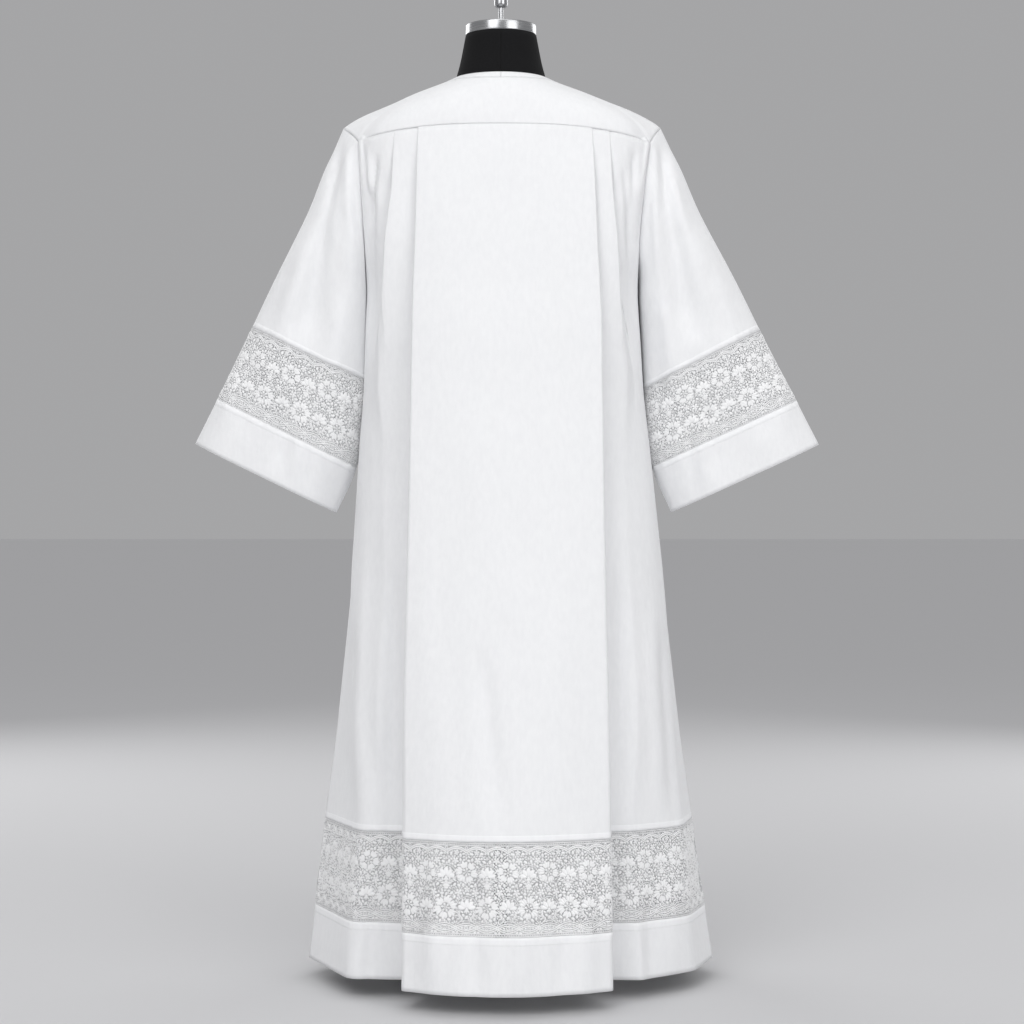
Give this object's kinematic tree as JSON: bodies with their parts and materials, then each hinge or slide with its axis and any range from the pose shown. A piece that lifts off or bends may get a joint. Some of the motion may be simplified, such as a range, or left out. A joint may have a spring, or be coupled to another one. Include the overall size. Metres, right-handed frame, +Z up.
{
  "type": "alb robe on a dress form",
  "caption": "White ankle-length robe hung in pleats from a yoke, with wide sleeves and bands of lace let in, on a limbless black dress form with a round base.",
  "frame": {"origin": "centre of the base underside, on the axis of the stand", "axes": "+Z up, -Y out of the back of the robe, +X to the right of someone looking at that back"},
  "size_m": [1.0094, 0.6092, 1.601],
  "materials": {
    "cotton": "matt white cotton cloth",
    "lace": "white floral lace on a fine net",
    "jersey": "matt black jersey",
    "steel": "brushed",
    "black_metal": "satin black"
  },
  "bodies": {
    "root": {"neckband": "cotton", "yoke": "cotton", "back_body": "cotton", "front_body": "cotton", "back_hem_band": "cotton", "front_hem_band": "cotton", "sleeve_left": "cotton", "sleeve_right": "cotton", "cuff_left": "cotton", "cuff_right": "cotton", "back_hem_lace": "lace", "front_hem_lace": "lace", "sleeve_lace_left_back": "lace", "sleeve_lace_left_front": "lace", "sleeve_lace_right_back": "lace", "sleeve_lace_right_front": "lace", "form_torso": "jersey", "neck_cap": "steel", "top_rod": "steel", "top_knob": "steel", "stand_pole": "steel", "stand_base": "black_metal"}
  },
  "joints": []
}
